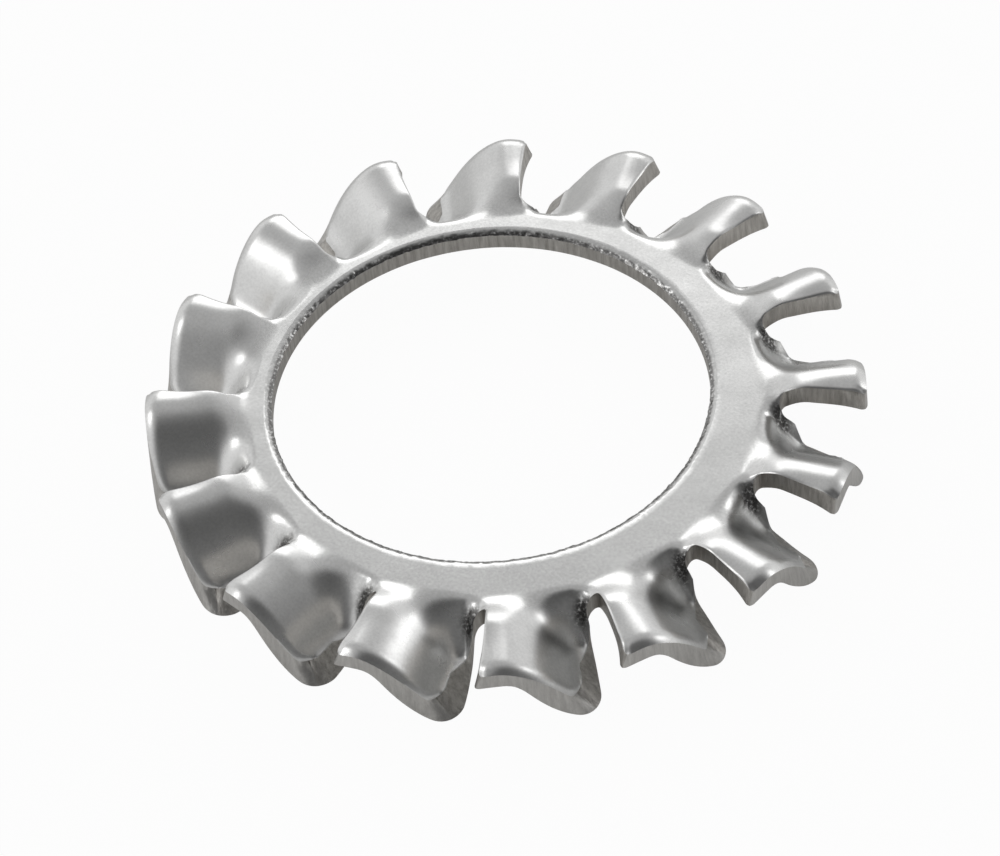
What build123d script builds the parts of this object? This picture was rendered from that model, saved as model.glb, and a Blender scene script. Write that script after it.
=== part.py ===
from build123d import *
import os
from math import asin, atan2, cos, hypot, pi, sin, tan

# Toothed lock washer with external teeth, in millimetres. +Z is the bore's axis
# and points to the side of the raised edges. The origin lies on that axis at
# half the ring's thickness. It is one sheet of even thickness: a flat ring with
# teeth formed into an S, the clockwise edge up and the other edge down.

# Ring and bore
bore_diameter = 13.0
sheet_thickness = 0.7
torn_edge_width = 0.24        # the torn edge around the bore's upper rim
torn_edge_depth = 0.13
circle_offset = 0.54          # from the bore's axis to the centre of the teeth

# Circle of teeth
tooth_count = 16
tip_diameter = 21.3
slot_root_diameter = 16.2     # across the bottoms of the slots
slot_root_width = 0.42
slot_tip_width = 0.74
slot_sweep = 0.2              # how far a slot bends clockwise at the tips
raised_corner_radius = 0.2
lowered_corner_radius = 0.8

# Forming of the teeth, measured along a tooth from the circle's centre
forming_start = 7.3           # the flat ring ends here
forming_end = 8.75            # the edges have their full lift from here
raised_lift = 0.48            # raised edge above the ring
lowered_drop = 1.38           # lowered edge below the ring
bend_line_start = 0.86        # bends, measured across from the tooth's middle
bend_line_end = 1.1
bend_length_start = 0.1       # rounded side of a bend, from its corner
bend_length_full = 0.35
web_width_start = 0.4         # half of the fall from one tooth to the next
web_width_full = 0.3

# Sizes that follow
half_pitch = pi / tooth_count
bore_radius = bore_diameter / 2
tip_radius = tip_diameter / 2
slot_root_radius = slot_root_diameter / 2
half_thickness = sheet_thickness / 2
sheet_end = tip_radius + slot_tip_width
cutter_height = 2 * (lowered_drop + raised_lift + sheet_thickness)


def along(start, end, share):
    """The value at a share of the way from start to end."""
    return start + (end - start) * share


def share_of(value, start, end):
    """How far a value lies between start and end, from 0 to 1."""
    return min(max((value - start) / (end - start), 0), 1)


def formed(x):
    """How far the teeth are formed at x, as an even ramp from 0 to 1."""
    ramp = share_of(x, forming_start, forming_end)
    return ramp**2 * (3 - 2 * ramp)


def section(x, side):
    """Spans of the sheet's upper (side 1) or lower (side -1) outline at x.

    Every span is a list of points: two for a straight, and three for the
    rounded side of a bend, which are its ends and the corner between them.
    The spans run from the lowered edge to the raised edge on the upper side,
    and the other way round on the lower side, where the same S is met turned
    by half a turn.
    """
    raised = raised_lift * formed(x)
    lowered = -lowered_drop * formed(x)
    first, last = (lowered, raised) if side > 0 else (raised, lowered)
    rise = abs(raised - lowered) - sheet_thickness
    line = along(bend_line_start, bend_line_end, share_of(x, forming_start, sheet_end))
    slope = atan2(rise, 2 * line)
    slope += asin(sheet_thickness / hypot(rise, 2 * line))
    ramp = share_of(x, forming_start, forming_end)
    length = along(bend_length_start, bend_length_full, ramp)
    edge = x * tan(half_pitch)
    web = edge - along(web_width_start, web_width_full, ramp)
    corner = sheet_thickness * tan(slope / 2) - line
    skin = side * half_thickness

    def at(y, z):
        return Vector(x, side * y, z + skin)

    bend_start = at(
        corner + length * cos(slope), last - side * length * sin(slope)
    )
    return [
        [at(edge, 0), at(web, first)],
        [at(web, first), at(line, first)],
        [at(line, first), bend_start],
        [bend_start, at(corner, last), at(corner - length, last)],
        [at(corner - length, last), at(-web, last)],
        [at(-web, last), at(-edge, 0)],
    ]


def cubic_poles(p, q, r, s):
    """Bezier poles of the cubic through four evenly spaced points.

    The factors solve the cubic's Bernstein weights at one and two thirds.
    """
    near = (q * 18 - p * 5 - r * 9 + s * 2) / 6
    far = (p * 2 - q * 9 + r * 18 - s * 5) / 6
    return [p, near, far, s]


def skin_faces(side):
    """The sheet's faces on one side: the ramp's, then the straight teeth's."""
    thirds = (0, 1 / 3, 2 / 3, 1)
    ramp = [section(along(forming_start, forming_end, share), side) for share in thirds]
    faces = []
    for spans in zip(*ramp):
        rows = [cubic_poles(*points) for points in zip(*spans)]
        faces.append(Face.make_bezier_surface(rows))
    for spans in zip(ramp[-1], section(sheet_end, side)):
        rows = [list(points) for points in zip(*spans)]
        faces.append(Face.make_bezier_surface(rows))
    return faces


def formed_sheet():
    """One pitch of the formed sheet, from the flat ring to past the tips."""
    skins = skin_faces(1) + skin_faces(-1)
    edge_in = forming_start * tan(half_pitch)
    edge_out = sheet_end * tan(half_pitch)
    borders = Compound(children=skins).edges()
    walls = []
    for x, reach in ((forming_start, edge_in), (sheet_end, edge_out)):
        rim = borders.filter_by_position(Axis.X, x, x)
        rim += [
            Edge.make_line((x, y, -half_thickness), (x, y, half_thickness))
            for y in (-reach, reach)
        ]
        walls.append(Face(Wire(rim)))
    for turn in (1, -1):
        walls.append(
            Face(
                Wire.make_polygon(
                    [
                        (forming_start, turn * edge_in, -half_thickness),
                        (sheet_end, turn * edge_out, -half_thickness),
                        (sheet_end, turn * edge_out, half_thickness),
                        (forming_start, turn * edge_in, half_thickness),
                    ]
                )
            )
        )
    return Solid(Shell(skins + walls))


def slot():
    """Plan of a slot: round at the root, wider and swept clockwise outward."""

    def flank(share, turn):
        width = along(slot_root_width, slot_tip_width, share)
        x = along(slot_root_radius + slot_root_width / 2, tip_radius, share)
        return (x, turn * width / 2 - slot_sweep * share**2)

    past_tip = 1.25  # the plan ends this share of the slot's length from its root
    outline = ThreePointArc(flank(0, 1), (slot_root_radius, 0), flank(0, -1))
    for turn in (1, -1):
        outline += ThreePointArc(
            flank(0, turn), flank(past_tip / 2, turn), flank(past_tip, turn)
        )
    outline += Line(flank(past_tip, 1), flank(past_tip, -1))
    return make_face(outline)


def tooth():
    """One tooth with its share of the ring's edge, pointing along X."""
    turn = half_pitch * 180 / pi
    plan = Circle(tip_radius) - Rot(Z=turn) * slot() - Rot(Z=-turn) * slot()
    corners = plan.vertices().sort_by(lambda v: hypot(v.X - tip_radius, v.Y))[:2]
    lowered, raised = sorted(corners, key=lambda v: -v.Y)
    plan = fillet(lowered, lowered_corner_radius)
    raised = plan.vertices().sort_by_distance(raised)[0]
    plan = fillet(raised, raised_corner_radius)
    return formed_sheet() & extrude(plan, cutter_height / 2, both=True)


def bore():
    """What the bore removes: its cylinder and the torn edge above it."""
    hole = Cylinder(bore_radius, cutter_height)
    torn_edge = Pos(Z=half_thickness - torn_edge_depth / 2) * Cone(
        bore_radius, bore_radius + torn_edge_width, torn_edge_depth
    )
    return hole + torn_edge


one_tooth = tooth()
ring_plan = RegularPolygon(
    forming_start, tooth_count, major_radius=False, rotation=half_pitch * 180 / pi
)
ring = Pos(Z=-half_thickness) * extrude(ring_plan, sheet_thickness)
teeth = [Rot(Z=i * 360 / tooth_count) * one_tooth for i in range(tooth_count)]
washer = Pos(X=circle_offset) * ring.fuse(*teeth) - bore()

os.makedirs("parts", exist_ok=True)
export_step(washer, "parts/lock_washer.step")
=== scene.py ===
import math

import bpy
import numpy as np
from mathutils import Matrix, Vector


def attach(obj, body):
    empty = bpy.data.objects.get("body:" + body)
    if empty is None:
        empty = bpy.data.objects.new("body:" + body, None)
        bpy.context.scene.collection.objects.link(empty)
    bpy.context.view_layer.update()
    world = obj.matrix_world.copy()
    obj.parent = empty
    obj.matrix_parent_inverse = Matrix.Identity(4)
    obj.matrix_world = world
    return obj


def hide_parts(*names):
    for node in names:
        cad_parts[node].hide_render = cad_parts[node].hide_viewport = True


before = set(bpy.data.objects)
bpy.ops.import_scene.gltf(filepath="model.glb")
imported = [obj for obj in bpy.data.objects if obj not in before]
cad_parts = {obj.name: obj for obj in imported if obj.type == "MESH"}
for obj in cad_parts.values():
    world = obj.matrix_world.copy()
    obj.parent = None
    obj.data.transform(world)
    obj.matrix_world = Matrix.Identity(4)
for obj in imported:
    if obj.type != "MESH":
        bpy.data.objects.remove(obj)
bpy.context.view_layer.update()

MM = 0.001

# Viewpoint. A long lens stands about 120 mm from a washer that is 21 mm across,
# half way up from the table, and is tilted a few degrees about its own axis.
CIRCLE_OFFSET = 0.54          # mm, from the bore's axis to the centre of the teeth
LENS_DISTANCE = 120.5         # mm
LENS_AZIMUTH = -46.9          # degrees from +X
LENS_ELEVATION = 47.65
LENS_ROLL = -6.0
SENSOR_WIDTH = 36.0
FOCAL_LENGTH = 146.9          # 33.85 pixels a millimetre at the washer
FRAME_SHIFT = (-0.0051, -0.0225)   # shares of the picture's width
CLIP = (0.005, 5)             # metres

azimuth = math.radians(LENS_AZIMUTH)
elevation = math.radians(LENS_ELEVATION)
roll = math.radians(LENS_ROLL)
backward = np.array([
    math.cos(elevation) * math.cos(azimuth),
    math.cos(elevation) * math.sin(azimuth),
    math.sin(elevation),
])
level = np.cross(-backward, (0, 0, 1))
level /= np.linalg.norm(level)
upright = np.cross(level, -backward)
lens_x = level * math.cos(roll) + upright * math.sin(roll)
lens_y = upright * math.cos(roll) - level * math.sin(roll)
lens_place = (np.array([CIRCLE_OFFSET, 0, 0]) + backward * LENS_DISTANCE) * MM

camera_data = bpy.data.cameras.new("camera")
camera_data.lens = FOCAL_LENGTH
camera_data.sensor_width = SENSOR_WIDTH
camera_data.shift_x, camera_data.shift_y = FRAME_SHIFT
camera_data.clip_start, camera_data.clip_end = CLIP
camera = bpy.data.objects.new("camera", camera_data)
pose = np.eye(4)
pose[:3, 0], pose[:3, 1], pose[:3, 2], pose[:3, 3] = lens_x, lens_y, backward, lens_place
camera.matrix_world = [list(row) for row in pose.T]
bpy.context.scene.collection.objects.link(camera)
bpy.context.scene.camera = camera


# Washer. One piece of bright spring steel: a ring with sixteen teeth, each pressed
# into an S, clockwise edge up. Lengths are in millimetres, x along a tooth from the
# circle's centre and y across it, positive towards the lowered edge.
SHEET = 0.7
BORE_RADIUS = 6.5
TORN_WIDTH, TORN_DEPTH = 0.24, 0.13
TEETH = 16
TIP_RADIUS = 10.64
SLOT_ROOT, SLOT_ROOT_WIDTH = 8.1, 0.42
SLOT_TIP_WIDTH, SLOT_SWEEP = 0.74, 0.2
LOWERED_CORNER, RAISED_CORNER = 0.8, 0.2
FORMING_START, FORMING_END = 7.45, 8.8
RAISED_LIFT, LOWERED_DROP = 0.47, 1.36
CREST_LINE = (0.6, 0.5)       # the steep part's upper end, from root to tip
CREASE_LINE = (1.0, 0.84)     # the crease at its foot
BEND_REACH = 0.95             # half of a bend's rounded side, across the tooth
CREASE_REACH = 0.3            # the same for its sharp side
WEB_FALL = 3.6                # how steeply the sheet falls from tooth to tooth
WEB_ROUND = 0.3
CREST_WIDTH, CREST_DROOP = 0.9, 0.13   # the crest sinks towards the raised edge
DROOP_START, DROOP_RUN = 8.0, 1.6
FLARE, FLARE_START = 0.25, 9.2   # the raised edge's underside spreads at the tip
BEVEL, BEVEL_START, BEVEL_RUN = 0.5, 8.45, 0.8   # the lowered flank's cut leans back
TIP_BEVEL, TIP_BEVEL_WIDTH = 0.25, 0.8           # and so does the lowered tip corner's
BASE = 7.3                    # the teeth's mesh starts here
TIP_ROLL_WIDTH, TIP_ROLL_DEPTH = 0.42, 0.17      # edges that the blanking rolled over
SLOT_ROLL_WIDTH, SLOT_ROLL_DEPTH = 0.07, 0.03

TINY = 1e-9                   # keeps a division by nought away

half_pitch = math.pi / TEETH


def smooth_low(a, b, reach):
    """The lower of two heights, with their meeting rounded."""
    meet = np.maximum(reach - np.abs(a - b), 0)
    return np.minimum(a, b) - meet**2 / (4 * np.maximum(reach, TINY))


def sheet_height(x, y, side):
    """Height of the sheet's upper (1) or lower (-1) skin, x along a tooth."""
    share = np.clip((x - FORMING_START) / (FORMING_END - FORMING_START), 0, 1)
    formed = share**2 * (3 - 2 * share)
    high, low = RAISED_LIFT * formed, -LOWERED_DROP * formed
    crest, line = [
        np.interp(x, (FORMING_START, TIP_RADIUS), ends) for ends in (CREST_LINE, CREASE_LINE)
    ]
    slope = (high - low) / (crest + line)
    through = SHEET * (np.hypot(1, slope) - 1)
    reach = slope * BEND_REACH
    inward = x * math.tan(half_pitch) - np.abs(y)
    web = WEB_FALL * formed * inward
    if side > 0:
        ramp = low + slope * (line - y)
        z = -smooth_low(-ramp, -low, slope * CREASE_REACH)
        z = smooth_low(z, high + 0 * y, reach)
    else:
        ramp = low - through + slope * (line - y)
        z = smooth_low(ramp, high + 0 * y, slope * CREASE_REACH)
        z = -smooth_low(-z, -low, reach)
    fall = WEB_ROUND * formed
    z = np.where(y < 0, smooth_low(z, web, fall), -smooth_low(-z, web, fall))
    return z + side * SHEET / 2


def spaced(points, shares):
    """Points at these shares of a line's length."""
    points = np.array(points)
    steps = np.hypot(*np.diff(points, axis=0).T)
    run = np.concatenate([[0], np.cumsum(steps)]) / steps.sum()
    return np.column_stack([np.interp(shares, run, points[:, i]) for i in (0, 1)])


def turned(points, angle):
    """Points turned anticlockwise about the circle's centre."""
    points = np.atleast_2d(points)
    c, s = math.cos(angle), math.sin(angle)
    return points @ np.array([[c, s], [-s, c]])


def flank(side, share):
    """A point on the slot's edge beside a tooth, side 1 for the lowered edge."""
    width = SLOT_ROOT_WIDTH + (SLOT_TIP_WIDTH - SLOT_ROOT_WIDTH) * share
    start = SLOT_ROOT + SLOT_ROOT_WIDTH / 2
    x = start + (TIP_RADIUS - start) * share
    y = -side * width / 2 - SLOT_SWEEP * share**2
    return turned([x, y], side * half_pitch)[0]


CORNER_STEPS = 16
STEPS_ON_FLANK = CORNER_STEPS // 2    # half of a corner's arc counts as flank
HALVINGS = 40
STEP_AHEAD = 0.001            # share of the flank's length, for its direction
LEAVING = (0.3, 1.1)          # shares between which a corner leaves the flank


def corner(side, radius):
    """Where a tip corner leaves the flank, and the corner's arc to the tip."""
    low, high = LEAVING
    for _ in range(HALVINGS):
        share = (low + high) / 2
        here, ahead = flank(side, share), flank(side, share + STEP_AHEAD)
        step = (ahead - here) / np.hypot(*(ahead - here))
        centre = here + radius * side * np.array([step[1], -step[0]])
        if np.hypot(*centre) > TIP_RADIUS - radius:
            high = share
        else:
            low = share
    start = math.atan2(*(here - centre)[::-1])
    end = math.atan2(centre[1], centre[0])
    angles = np.linspace(start, end, CORNER_STEPS + 1)
    arc = centre + radius * np.column_stack([np.cos(angles), np.sin(angles)])
    return share, arc


ROOT_ROWS, BEND_ROWS, FLANK_ROWS = 11, 6, 25
COLUMNS = 44
EVEN, CROWDED = 0.4, 0.6      # rows and columns crowd together near the edges
even = np.linspace(0, 1, COLUMNS + 1)
across = EVEN * even + CROWDED * (0.5 - 0.5 * np.cos(math.pi * even))
outward = np.linspace(0, 1, FLANK_ROWS + 1)
outward = EVEN * outward + CROWDED * np.sin(math.pi / 2 * outward)

CURVE_POINTS, TIP_POINTS = 40, 30
sides, corners = {}, {}
for side, radius in ((1, LOWERED_CORNER), (-1, RAISED_CORNER)):
    leaving, arc = corner(side, radius)
    pitch_line = [
        turned([r, 0], side * half_pitch)[0]
        for r in np.linspace(BASE / math.cos(half_pitch), SLOT_ROOT, ROOT_ROWS + 1)
    ]
    root_radius = SLOT_ROOT_WIDTH / 2
    root = [
        turned(
            [
                SLOT_ROOT + root_radius * (1 - math.cos(a)),
                -side * root_radius * math.sin(a),
            ],
            side * half_pitch,
        )[0]
        for a in np.linspace(0, math.pi / 2, BEND_ROWS + 1)
    ]
    edge = [flank(side, s) for s in np.linspace(0, leaving, CURVE_POINTS)]
    edge += list(arc[1:STEPS_ON_FLANK + 1])
    sides[side] = np.vstack([pitch_line, root[1:], spaced(edge, outward)[1:]])
    corners[side] = arc[STEPS_ON_FLANK:]

tip_angles = [math.atan2(*corners[s][-1][::-1]) for s in (1, -1)]
tip_arc = TIP_RADIUS * np.array(
    [[math.cos(a), math.sin(a)] for a in np.linspace(*tip_angles, TIP_POINTS)[1:-1]]
)
tip = spaced(np.vstack([corners[1], tip_arc, corners[-1][::-1]]), across)
base = np.column_stack([
    np.full(COLUMNS + 1, BASE),
    BASE * math.tan(half_pitch) * (1 - 2 * across),
])

# The plan of one tooth is a grid between its root line, flanks and tip.
lengths = sum(
    np.concatenate([[0], np.cumsum(np.hypot(*np.diff(sides[s], axis=0).T))])
    for s in (1, -1)
)
along = (lengths / lengths[-1])[:, None, None]
over = across[None, :, None]
plan = (
    (1 - over) * sides[1][:, None]
    + over * sides[-1][:, None]
    + (1 - along) * base[None]
    + along * tip[None]
    - (1 - along) * ((1 - over) * base[0] + over * base[-1])
    - along * ((1 - over) * tip[0] + over * tip[-1])
)


def distance(points, line):
    """Distance of every point from a line of points."""
    a, b = line[:-1], line[1:]
    d = b - a
    p = points.reshape(-1, 1, 2) - a
    t = np.clip((p * d).sum(2) / (d * d).sum(1), 0, 1)
    return np.sqrt(((p - t[..., None] * d) ** 2).sum(2)).min(1).reshape(points.shape[:-1])


to_lowered, to_raised = [distance(plan, sides[s][ROOT_ROWS:]) for s in (1, -1)]
to_slot = np.minimum(to_lowered, to_raised)
to_tip = distance(plan, tip)
x, y = plan[..., 0], plan[..., 1]
lean = BEVEL * np.clip((x[:, :1] - BEVEL_START) / BEVEL_RUN, 0, 1)
chord = plan[:, -1] - plan[:, 0]
inward = chord / np.linalg.norm(chord, axis=1)[:, None]
top_plan = plan + (lean * np.clip(1 - 2 * across, 0, 1) ** 2)[..., None] * inward[:, None]
near_tip = np.clip(1 - to_tip / TIP_BEVEL_WIDTH, 0, 1)
top_plan[..., 0] -= TIP_BEVEL * near_tip**2 * (1 - across) ** 2
upper = sheet_height(top_plan[..., 0], top_plan[..., 1], 1)
lower = sheet_height(x, y, -1)
past_root = np.clip((x - DROOP_START) / DROOP_RUN, 0, 1)
droop = CREST_DROOP * np.clip(1 - to_raised / CREST_WIDTH, 0, 1) ** 2
droop *= past_root**2 * (3 - 2 * past_root)
upper -= droop
lower -= droop
flare = FLARE * np.clip((x - FLARE_START) / (TIP_RADIUS - FLARE_START), 0, 1) ** 2
flare *= np.clip(1 - to_raised / CREST_WIDTH, 0, 1)
rolled = TIP_ROLL_DEPTH * np.clip(1 - to_tip / TIP_ROLL_WIDTH, 0, 1) ** 2
rolled += SLOT_ROLL_DEPTH * np.clip(1 - to_slot / SLOT_ROLL_WIDTH, 0, 1) ** 2
upper -= rolled
lower += SLOT_ROLL_DEPTH * np.clip(1 - np.minimum(to_slot, to_tip) / SLOT_ROLL_WIDTH, 0, 1) ** 2

# How far the skin is pressed, from the flat ring to the tooth, and where it is
# torn: a fine burr along the lowered flank, and a rough patch at the slot's root
# whose dark colour is painted shade.
PRESSED_START, PRESSED_RUN = 7.6, 0.6
BURR_WIDTH, BURR_MOST = 0.22, 0.6
BURR_SIDE, BURR_SIDE_RUN = 0.7, 0.3
BURR_START, BURR_RUN = 8.8, 1.2
PATCH_X, PATCH_Y = 8.05, 1.32
PATCH_RADIUS, PATCH_FADE, PATCH_MOST = 0.55, 0.35, 0.95
pressed = np.clip((x - PRESSED_START) / PRESSED_RUN, 0, 1)
burred_and_shaded = np.clip(1 - to_slot / BURR_WIDTH, 0, 1)
burred_and_shaded = burred_and_shaded * np.clip((y - BURR_SIDE) / BURR_SIDE_RUN, 0, 1)
burred_and_shaded *= np.clip((x - BURR_START) / BURR_RUN, 0, BURR_MOST)
# Painted shade: the root patch darkens the slot's root with the pits' colour, besides
# roughening it.
painted_root_shade = np.clip((PATCH_RADIUS - np.hypot(x - PATCH_X, y - PATCH_Y)) / PATCH_FADE, 0, 1)
burred_and_shaded = np.maximum(burred_and_shaded, PATCH_MOST * painted_root_shade)

WALL_ROWS = 5
TIP_CUT = 0.65                # the tips' cut is less coarse than the slots'
rows = plan.shape[0] - 1


def grid_faces(index, flip=False):
    """Quads of a grid of vertex numbers."""
    a, b = index[:-1, :-1].ravel(), index[1:, :-1].ravel()
    c, d = index[1:, 1:].ravel(), index[:-1, 1:].ravel()
    return np.column_stack([a, d, c, b] if flip else [a, b, c, d]).tolist()


def mesh_object(name, points, faces, walls, burr, pressed):
    """A mesh in metres that remembers its cut faces, burrs, painted root shade and pressed
    skin.
    """
    mesh = bpy.data.meshes.new(name)
    mesh.from_pydata((np.array(points) * MM).tolist(), [], faces)
    cut = mesh.attributes.new("cut", "FLOAT", "FACE")
    cut.data.foreach_set("value", np.array(walls, np.float32))
    for label, values in (("burr", burr), ("pressed", pressed)):
        marks = mesh.attributes.new(label, "FLOAT", "POINT")
        marks.data.foreach_set("value", np.array(values, np.float32))
    thing = bpy.data.objects.new(name, mesh)
    bpy.context.scene.collection.objects.link(thing)
    return thing


count = plan.shape[0] * plan.shape[1]
index = np.arange(count).reshape(plan.shape[:2])
under = plan - np.dstack([0 * flare, flare])
points = [
    np.dstack([top_plan, upper]).reshape(-1, 3),
    np.dstack([under, lower]).reshape(-1, 3),
]
burr = [burred_and_shaded.ravel(), 0 * burred_and_shaded.ravel()]
press_marks = [pressed.ravel(), pressed.ravel()]
faces = grid_faces(index, flip=True) + grid_faces(index + count)
skin_faces = len(faces)
rim = np.concatenate([
    index[ROOT_ROWS:, 0], index[-1, 1:], index[ROOT_ROWS:-1, -1][::-1]
])
wall = [rim]
start = 2 * count
for k in range(1, WALL_ROWS):
    share = k / WALL_ROWS
    points.append(points[0][rim] * (1 - share) + points[1][rim] * share)
    burr.append(burred_and_shaded.ravel()[rim] * max(0, 1 - 2 * share))
    press_marks.append(0 * rim)
    wall.append(np.arange(start, start + len(rim)))
    start += len(rim)
wall.append(rim + count)
faces += grid_faces(np.array(wall), flip=True)
cut_steps = len(rim) - 1
tip_from, tip_to = rows - ROOT_ROWS, rows - ROOT_ROWS + COLUMNS
coarse = [TIP_CUT if tip_from <= i < tip_to else 1 for i in range(cut_steps)] * WALL_ROWS
tooth = mesh_object(
    "tooth", np.vstack(points), faces, [0] * skin_faces + coarse,
    np.concatenate(burr), np.concatenate(press_marks),
)

# The ring joins the teeth's root lines to the bore, which is punched 0.54 mm out
# of the middle. Its punch left a smooth wall with a torn rim above.
outer = np.vstack([turned(base[:0:-1], i * 2 * half_pitch) for i in range(TEETH)])
outer = outer + (CIRCLE_OFFSET, 0)
reach = np.hypot(*outer.T)
direction = outer / reach[:, None]
TORN_ROWS, RING_ROWS = 8, 7
ring_radii = [
    BORE_RADIUS + TORN_WIDTH * k / TORN_ROWS + 0 * reach for k in range(TORN_ROWS + 1)
]
past_torn = reach - ring_radii[TORN_ROWS]
for k in range(1, RING_ROWS + 1):
    ring_radii.append(ring_radii[TORN_ROWS] + past_torn * k / RING_ROWS)
ring_plan = np.array([direction * r[:, None] for r in ring_radii])
ring_plan = np.concatenate([ring_plan, ring_plan[:, :1]], axis=1)


def ring_height(points, side):
    """Height of a skin anywhere on the ring, from its nearest tooth."""
    local = points - (CIRCLE_OFFSET, 0)
    angle = np.arctan2(local[..., 1], local[..., 0])
    off = angle - np.round(angle / (2 * half_pitch)) * 2 * half_pitch
    r = np.hypot(local[..., 0], local[..., 1])
    return sheet_height(r * np.cos(off), r * np.sin(off), side)


TORN_CURVE = 1.5              # the torn rim's section, 1 for a straight chamfer
TORN_MOST, TORN_SPREAD = 0.9, 1.6
BORE_ROLL_WIDTH, BORE_ROLL_DEPTH = 0.12, 0.06
WALL_CROWDING = 1.3           # the wall's rows crowd together under its upper rim
WALL_TORN, WALL_TORN_FALL = 0.7, 3
from_bore = np.hypot(ring_plan[..., 0], ring_plan[..., 1]) - BORE_RADIUS
torn = np.clip(1 - from_bore / TORN_WIDTH, 0, 1)
ring_upper = ring_height(ring_plan, 1) - TORN_DEPTH * torn**TORN_CURVE
ring_lower = ring_height(ring_plan, -1)
ring_lower += BORE_ROLL_DEPTH * np.clip(1 - from_bore / BORE_ROLL_WIDTH, 0, 1) ** 2
count = ring_plan.shape[0] * ring_plan.shape[1]
index = np.arange(count).reshape(ring_plan.shape[:2])
points = [
    np.dstack([ring_plan, ring_upper]).reshape(-1, 3),
    np.dstack([ring_plan, ring_lower]).reshape(-1, 3),
]
torn_points = TORN_MOST * np.clip(torn * TORN_SPREAD, 0, 1)
burr = [torn_points.ravel(), 0 * torn_points.ravel()]
faces = grid_faces(index) + grid_faces(index + count, flip=True)
skin_faces = len(faces)
rim = index[0]
wall = [rim]
start = 2 * count
for k in range(1, WALL_ROWS + 1):
    share = (k / (WALL_ROWS + 1)) ** WALL_CROWDING
    points.append(points[0][rim] * (1 - share) + points[1][rim] * share)
    burr.append(np.full(len(rim), max(0, WALL_TORN - WALL_TORN_FALL * share)))
    wall.append(np.arange(start, start + len(rim)))
    start += len(rim)
wall.append(rim + count)
faces += grid_faces(np.array(wall), flip=True)
burr = np.concatenate(burr)
ring = mesh_object(
    "ring", np.vstack(points), faces,
    [0] * skin_faces + [1] * (len(faces) - skin_faces), burr, 0 * burr,
)


def linear(hex_colour):
    """An sRGB hex colour as the linear RGBA that nodes take."""
    parts = [int(hex_colour[i:i + 2], 16) / 255 for i in (1, 3, 5)]
    return [
        c / 12.92 if c <= 0.04045 else ((c + 0.055) / 1.055) ** 2.4 for c in parts
    ] + [1]


def add_node(tree, kind, inputs=None, **settings):
    """Adds a node with its settings, and fills or links its inputs."""
    made = tree.nodes.new(kind)
    for name, value in settings.items():
        setattr(made, name, value)
    for socket, value in (inputs or {}).items():
        if isinstance(value, bpy.types.NodeSocket):
            tree.links.new(value, made.inputs[socket])
        else:
            made.inputs[socket].default_value = value
    return made


# Bright stainless spring steel, 1.4310 strip: cold rolled and left with its satin
# skin, which blurs what it mirrors and shows faint specks of the rolls' grit. The
# cut faces are drawn out by the punch, and torn metal is pitted and dark. The
# same dark colour is painted as shade into each slot's root.
SATIN_LIGHT, SATIN_DARK = "#E6E6E5", "#D6D6D5"
CUT_DARK, CUT_LIGHT = "#6C6761", "#F0EDE8"
# The pits' colour, also painted as shade into each slot's root.
PITS_AND_ROOT_SHADE = "#3A3735"
GRIT_SIZE = 1 / 12 * MM       # specks, 12 in a millimetre
BLOTCH_SIZE = 1 / 0.9 * MM    # cloudy patches
DRAG_SIZE = 1 / 7 * MM        # streaks across the punch's stroke
DRAG_STRETCH = 0.12           # and how much slower they change along it
FLAT_ROUGHNESS, PRESSED_ROUGHNESS, CUT_ROUGHNESS = 0.22, 0.28, 0.36
steel = bpy.data.materials.new("stainless spring steel, cold-rolled satin")
steel.use_nodes = True
tree = steel.node_tree
tree.nodes.clear()
place = add_node(tree, "ShaderNodeTexCoord")
cut_faces = add_node(tree, "ShaderNodeAttribute", attribute_name="cut")
torn_rims_and_root_shade = add_node(tree, "ShaderNodeAttribute", attribute_name="burr")
grit = add_node(tree, "ShaderNodeTexNoise", {
    "Vector": place.outputs["Object"], "Scale": 1 / GRIT_SIZE, "Detail": 3,
    "Roughness": 0.6})
blotch = add_node(tree, "ShaderNodeTexNoise", {
    "Vector": place.outputs["Object"], "Scale": 1 / BLOTCH_SIZE, "Detail": 3,
    "Roughness": 0.5})
stretched = add_node(tree, "ShaderNodeMapping", {
    "Vector": place.outputs["Object"], "Scale": (1, 1, DRAG_STRETCH)})
drag = add_node(tree, "ShaderNodeTexNoise", {
    "Vector": stretched.outputs["Vector"], "Scale": 1 / DRAG_SIZE, "Detail": 4,
    "Roughness": 0.7})
mottled = add_node(tree, "ShaderNodeMath", {
    0: grit.outputs[0], 1: blotch.outputs[0]}, operation="ADD")
speckle = add_node(tree, "ShaderNodeMapRange", {
    "Value": mottled.outputs[0], "From Min": 0.8, "From Max": 1.25})
skin_colour = add_node(tree, "ShaderNodeMix", {
    "Factor": speckle.outputs[0], "A": linear(SATIN_LIGHT), "B": linear(SATIN_DARK)},
    data_type="RGBA")
# Darkens the torn rims, and paints shade into the slot roots.
pitted_and_shaded = add_node(tree, "ShaderNodeMath", {
    0: torn_rims_and_root_shade.outputs["Fac"], 1: 3.0}, operation="POWER")
pits_and_root_shade = add_node(tree, "ShaderNodeMapRange", {
    "Value": grit.outputs[0], "From Min": 0.3, "From Max": 0.5,
    "To Max": pitted_and_shaded.outputs[0]})
torn_and_shaded_colour = add_node(tree, "ShaderNodeMix", {
    "Factor": pits_and_root_shade.outputs[0], "B": linear(PITS_AND_ROOT_SHADE)}, data_type="RGBA")
tree.links.new(skin_colour.outputs[2], torn_and_shaded_colour.inputs[6])
cut_colour = add_node(tree, "ShaderNodeMix", {
    "Factor": drag.outputs[0], "A": linear(CUT_DARK), "B": linear(CUT_LIGHT)},
    data_type="RGBA")
colour = add_node(tree, "ShaderNodeMix", {
    "Factor": cut_faces.outputs["Fac"]}, data_type="RGBA")
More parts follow.
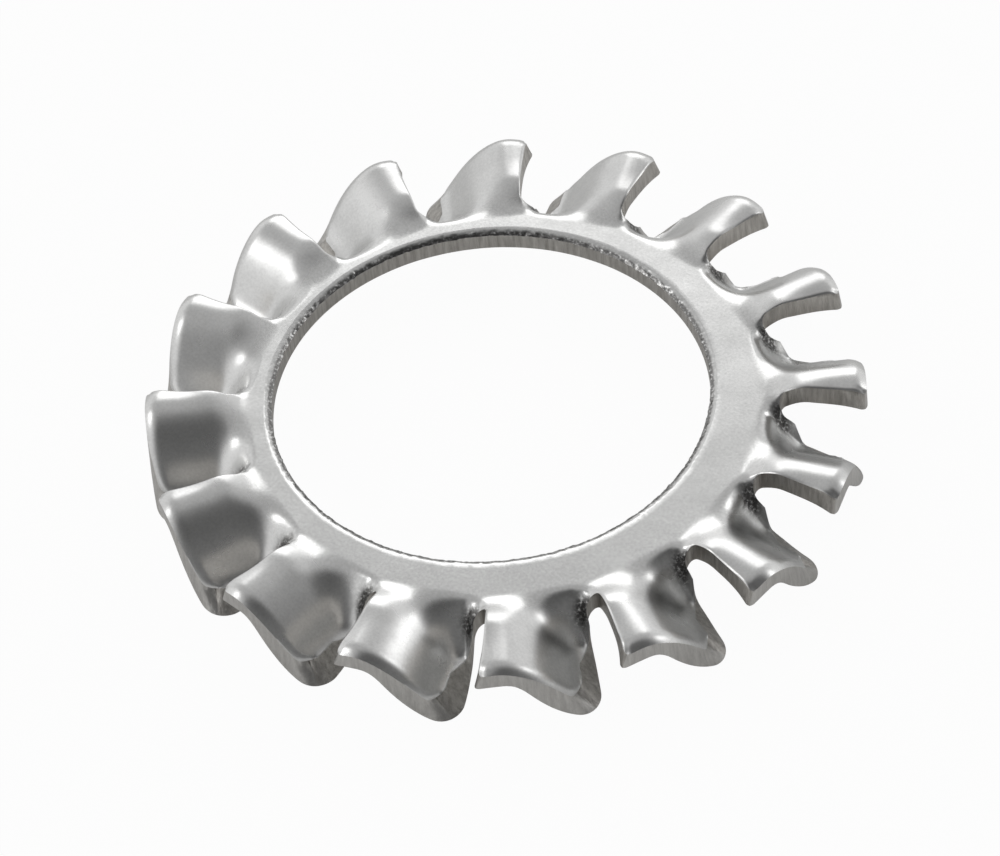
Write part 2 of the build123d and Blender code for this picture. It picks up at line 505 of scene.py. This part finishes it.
tree.links.new(torn_and_shaded_colour.outputs[2], colour.inputs[6])
tree.links.new(cut_colour.outputs[2], colour.inputs[7])
pressed_skin = add_node(tree, "ShaderNodeAttribute", attribute_name="pressed")
smoothed = add_node(tree, "ShaderNodeMapRange", {
    "Value": pressed_skin.outputs["Fac"], "To Min": FLAT_ROUGHNESS,
    "To Max": PRESSED_ROUGHNESS})
unevenly = add_node(tree, "ShaderNodeMapRange", {
    "Value": blotch.outputs[0], "To Min": -0.05, "To Max": 0.07})
skin_rough = add_node(tree, "ShaderNodeMath", {
    0: smoothed.outputs[0], 1: unevenly.outputs[0]}, operation="ADD")
rough = add_node(tree, "ShaderNodeMix", {
    "Factor": cut_faces.outputs["Fac"], "A": skin_rough.outputs[0], "B": CUT_ROUGHNESS})
skin_bump = add_node(tree, "ShaderNodeBump", {
    "Height": grit.outputs[0], "Strength": 0.06, "Distance": 0.012 * MM})
drag_height = add_node(tree, "ShaderNodeMath", {
    0: drag.outputs[0], 1: cut_faces.outputs["Fac"]}, operation="MULTIPLY")
cut_bump = add_node(tree, "ShaderNodeBump", {
    "Height": drag_height.outputs[0], "Strength": 0.8, "Distance": 0.03 * MM,
    "Normal": skin_bump.outputs[0]})
shader = add_node(tree, "ShaderNodeBsdfPrincipled", {
    "Base Color": colour.outputs[2], "Metallic": 1.0, "Roughness": rough.outputs[0],
    "Normal": cut_bump.outputs[0]})
add_node(tree, "ShaderNodeOutputMaterial", {"Surface": shader.outputs[0]})

# A press tool repeats the tooth around the circle, and the punch tears the rims.
# What it leaves is shaken by a smooth unevenness, and creased where it is steep.
MERGED_BELOW = 0.002 * MM
CRISP_ANGLE = 42              # degrees, edges above it are creases
press = bpy.data.node_groups.new("press the teeth", "GeometryNodeTree")
press.is_modifier = True
press_sizes = {}
for name, kind, value in (
    ("Geometry", "NodeSocketGeometry", None),
    ("Tooth", "NodeSocketObject", tooth),
    ("Teeth", "NodeSocketInt", TEETH),
    ("Circle offset", "NodeSocketFloat", CIRCLE_OFFSET * MM),
    ("Burr height", "NodeSocketFloat", 0.1 * MM),
    ("Burr length", "NodeSocketFloat", 0.13 * MM),
    ("Unevenness", "NodeSocketFloat", 0.03 * MM),
    ("Unevenness length", "NodeSocketFloat", 2.6 * MM),
    ("Seed", "NodeSocketInt", 7),
    ("Steel", "NodeSocketMaterial", steel),
):
    socket = press.interface.new_socket(name, in_out="INPUT", socket_type=kind)
    press_sizes[name] = (socket.identifier, value)
press.interface.new_socket("Geometry", in_out="OUTPUT", socket_type="NodeSocketGeometry")
given = add_node(press, "NodeGroupInput").outputs
one = add_node(press, "GeometryNodeObjectInfo", {
    "Object": given["Tooth"], "As Instance": True})
spots = add_node(press, "GeometryNodePoints", {"Count": given["Teeth"]})
pitch = add_node(press, "ShaderNodeMath", {
    0: 2 * math.pi, 1: given["Teeth"]}, operation="DIVIDE")
number = add_node(press, "GeometryNodeInputIndex")
turn = add_node(press, "ShaderNodeMath", {
    0: number.outputs[0], 1: pitch.outputs[0]}, operation="MULTIPLY")
about_z = add_node(press, "ShaderNodeCombineXYZ", {"Z": turn.outputs[0]})
around = add_node(press, "GeometryNodeInstanceOnPoints", {
    "Points": spots.outputs[0], "Instance": one.outputs["Geometry"],
    "Rotation": about_z.outputs[0]})
aside = add_node(press, "ShaderNodeCombineXYZ", {"X": given["Circle offset"]})
placed = add_node(press, "GeometryNodeTransform", {
    "Geometry": around.outputs[0], "Translation": aside.outputs[0]})
real = add_node(press, "GeometryNodeRealizeInstances", {"Geometry": placed.outputs[0]})
whole = add_node(press, "GeometryNodeJoinGeometry", {"Geometry": given["Geometry"]})
press.links.new(real.outputs[0], whole.inputs[0])
merged = add_node(press, "GeometryNodeMergeByDistance", {
    "Geometry": whole.outputs[0], "Distance": MERGED_BELOW})
torn_mark = add_node(
    press, "GeometryNodeInputNamedAttribute", {"Name": "burr"}, data_type="FLOAT")


def drift(length, height, weight):
    """Moves points by smooth noise of this wavelength and height."""
    scale = add_node(press, "ShaderNodeMath", {0: 1.0, 1: length}, operation="DIVIDE")
    noise = add_node(press, "ShaderNodeTexNoise", {
        "W": given["Seed"], "Scale": scale.outputs[0], "Detail": 2.0}, noise_dimensions="4D")
    centred = add_node(press, "ShaderNodeVectorMath", {
        0: noise.outputs[1], 1: (0.5, 0.5, 0.5)}, operation="SUBTRACT")
    amount = add_node(press, "ShaderNodeMath", {0: height, 1: weight}, operation="MULTIPLY")
    return add_node(press, "ShaderNodeVectorMath", {
        0: centred.outputs[0], "Scale": amount.outputs[0]}, operation="SCALE").outputs[0]


burrs = drift(given["Burr length"], given["Burr height"], torn_mark.outputs[0])
waves = drift(given["Unevenness length"], given["Unevenness"], 1.0)
moves = add_node(press, "ShaderNodeVectorMath", {0: burrs, 1: waves}, operation="ADD")
shaken = add_node(press, "GeometryNodeSetPosition", {
    "Geometry": merged.outputs[0], "Offset": moves.outputs[0]})
edge_angle = add_node(press, "GeometryNodeInputMeshEdgeAngle")
sharp = add_node(press, "ShaderNodeMath", {
    0: edge_angle.outputs[0], 1: math.radians(CRISP_ANGLE)}, operation="GREATER_THAN")
soft = add_node(press, "GeometryNodeSetShadeSmooth", {
    "Geometry": shaken.outputs[0], "Shade Smooth": True}, domain="FACE")
crisp = add_node(press, "GeometryNodeSetShadeSmooth", {
    "Geometry": soft.outputs[0], "Selection": sharp.outputs[0], "Shade Smooth": False},
    domain="EDGE")
dressed = add_node(press, "GeometryNodeSetMaterial", {
    "Geometry": crisp.outputs[0], "Material": given["Steel"]})
add_node(press, "NodeGroupOutput", {0: dressed.outputs[0]})

pressing = ring.modifiers.new("press", "NODES")
pressing.node_group = press
for identifier, value in press_sizes.values():
    if value is not None:
        pressing[identifier] = value
graph = bpy.context.evaluated_depsgraph_get()
mesh = bpy.data.meshes.new_from_object(ring.evaluated_get(graph))
mesh.name = "toothed_washer"
washer = bpy.data.objects.new("toothed_washer", mesh)
bpy.context.scene.collection.objects.link(washer)
for made in (ring, tooth):
    bpy.data.objects.remove(made)
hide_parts("lock_washer")
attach(washer, "root")


# Floor. A plain white sheet under the washer that takes its soft shadow. It is
# nearly as white as paper to the eye, and a little brighter in the steel's mirror.
FLOOR_SIZE = 1.2              # metres
SEEN_WHITE, MIRRORED_WHITE = 0.96, 0.1
lowest = min(v.co.z for v in mesh.vertices)
floor_mesh = bpy.data.meshes.new("floor")
half = FLOOR_SIZE / 2
floor_corners = [(-half, -half), (half, -half), (half, half), (-half, half)]
floor_mesh.from_pydata([(*spot, lowest) for spot in floor_corners], [], [(0, 1, 2, 3)])
floor = bpy.data.objects.new("floor", floor_mesh)
bpy.context.scene.collection.objects.link(floor)
paper = bpy.data.materials.new("matt white paper")
paper.use_nodes = True
tree = paper.node_tree
tree.nodes.clear()
matt = add_node(tree, "ShaderNodeBsdfDiffuse", {"Color": linear("#F4F4F3")})
glow = add_node(tree, "ShaderNodeEmission", {"Color": (1, 1, 1, 1), "Strength": 1.0})
rays = add_node(tree, "ShaderNodeLightPath")
mirrored = add_node(tree, "ShaderNodeMath", {
    0: rays.outputs["Is Glossy Ray"], 1: MIRRORED_WHITE}, operation="MULTIPLY")
seen = add_node(tree, "ShaderNodeMath", {
    0: rays.outputs["Is Camera Ray"], 1: SEEN_WHITE, 2: mirrored.outputs[0]},
    operation="MULTIPLY_ADD")
sheet = add_node(tree, "ShaderNodeMixShader", {
    0: seen.outputs[0], 1: matt.outputs[0], 2: glow.outputs[0]})
add_node(tree, "ShaderNodeOutputMaterial", {0: sheet.outputs[0]})
floor_mesh.materials.append(paper)

# Light. A white room, darker overhead and on the lens side, where the camera and
# its stand take the light away. Soft lamps stand behind, right and left.
world = bpy.data.worlds.new("room")
bpy.context.scene.world = world
world.use_nodes = True
tree = world.node_tree
tree.nodes.clear()
DARK_TURN = azimuth + math.radians(19)   # the middle of the dark side
DARK_RISE = math.radians(20)
DARK_EDGE = (0.25, 0.68)      # cosines of the angles where it begins and is full
DARK_LEVEL = 0.2
# The room's grey by height, which is the sine of the elevation.
GREYS = ((0.45, 0.8), (0.64, 0.66), (0.74, 0.52), (0.92, 0.47), (1.0, 0.46))
rays = add_node(tree, "ShaderNodeLightPath")
look = add_node(tree, "ShaderNodeTexCoord")
height = add_node(tree, "ShaderNodeSeparateXYZ", {0: look.outputs["Generated"]})
walls = add_node(tree, "ShaderNodeValToRGB", {0: height.outputs["Z"]})
greys = walls.color_ramp.elements
greys.remove(greys[1])
(lowest_height, lowest_grey), *higher = GREYS
greys[0].position = lowest_height
greys[0].color = (lowest_grey, lowest_grey, lowest_grey, 1)
for z, grey in higher:
    greys.new(z).color = (grey, grey, grey, 1)
dark_side = (
    math.cos(DARK_TURN) * math.cos(DARK_RISE),
    math.sin(DARK_TURN) * math.cos(DARK_RISE),
    math.sin(DARK_RISE),
)
to_lens = add_node(tree, "ShaderNodeVectorMath", {
    0: look.outputs["Generated"], 1: dark_side}, operation="DOT_PRODUCT")
open_side = add_node(tree, "ShaderNodeMapRange", {
    "Value": to_lens.outputs["Value"], "From Min": DARK_EDGE[0],
    "From Max": DARK_EDGE[1], "To Min": 1.0, "To Max": DARK_LEVEL},
    interpolation_type="SMOOTHSTEP")
room = add_node(tree, "ShaderNodeBackground", {
    "Color": walls.outputs[0], "Strength": open_side.outputs[0]})
white = add_node(tree, "ShaderNodeBackground", {"Color": (1, 1, 1, 1), "Strength": 1.0})
sky = add_node(tree, "ShaderNodeMixShader", {
    0: rays.outputs["Is Camera Ray"], 1: room.outputs[0], 2: white.outputs[0]})
add_node(tree, "ShaderNodeOutputWorld", {0: sky.outputs[0]})


def softbox(name, turn, rise, width, height, level, distance=0.35):
    """A soft lamp that faces the washer, placed by its angles from the far side.

    Its level is its brightness beside that of white paper, its sizes are metres.
    """
    lamp = bpy.data.lights.new(name, "AREA")
    lamp.shape = "RECTANGLE"
    lamp.size, lamp.size_y = width, height
    lamp.energy = level * math.pi * width * height
    thing = bpy.data.objects.new(name, lamp)
    around = azimuth + math.pi + math.radians(turn)
    up = math.radians(rise)
    flat = math.cos(up)
    aim = Vector((flat * math.cos(around), flat * math.sin(around), math.sin(up)))
    thing.location = aim * distance
    thing.rotation_mode = "QUATERNION"
    thing.rotation_quaternion = aim.to_track_quat("Z", "Y")
    thing.visible_camera = False
    bpy.context.scene.collection.objects.link(thing)


softbox("back softbox", turn=-8, rise=27.5, width=0.20, height=0.22, level=1.02)
softbox("right softbox", turn=86, rise=39, width=0.10, height=0.11, level=2.0)
softbox("left softbox", turn=-78, rise=28, width=0.09, height=0.10, level=1.35)

bpy.context.scene.view_settings.view_transform = "Standard"
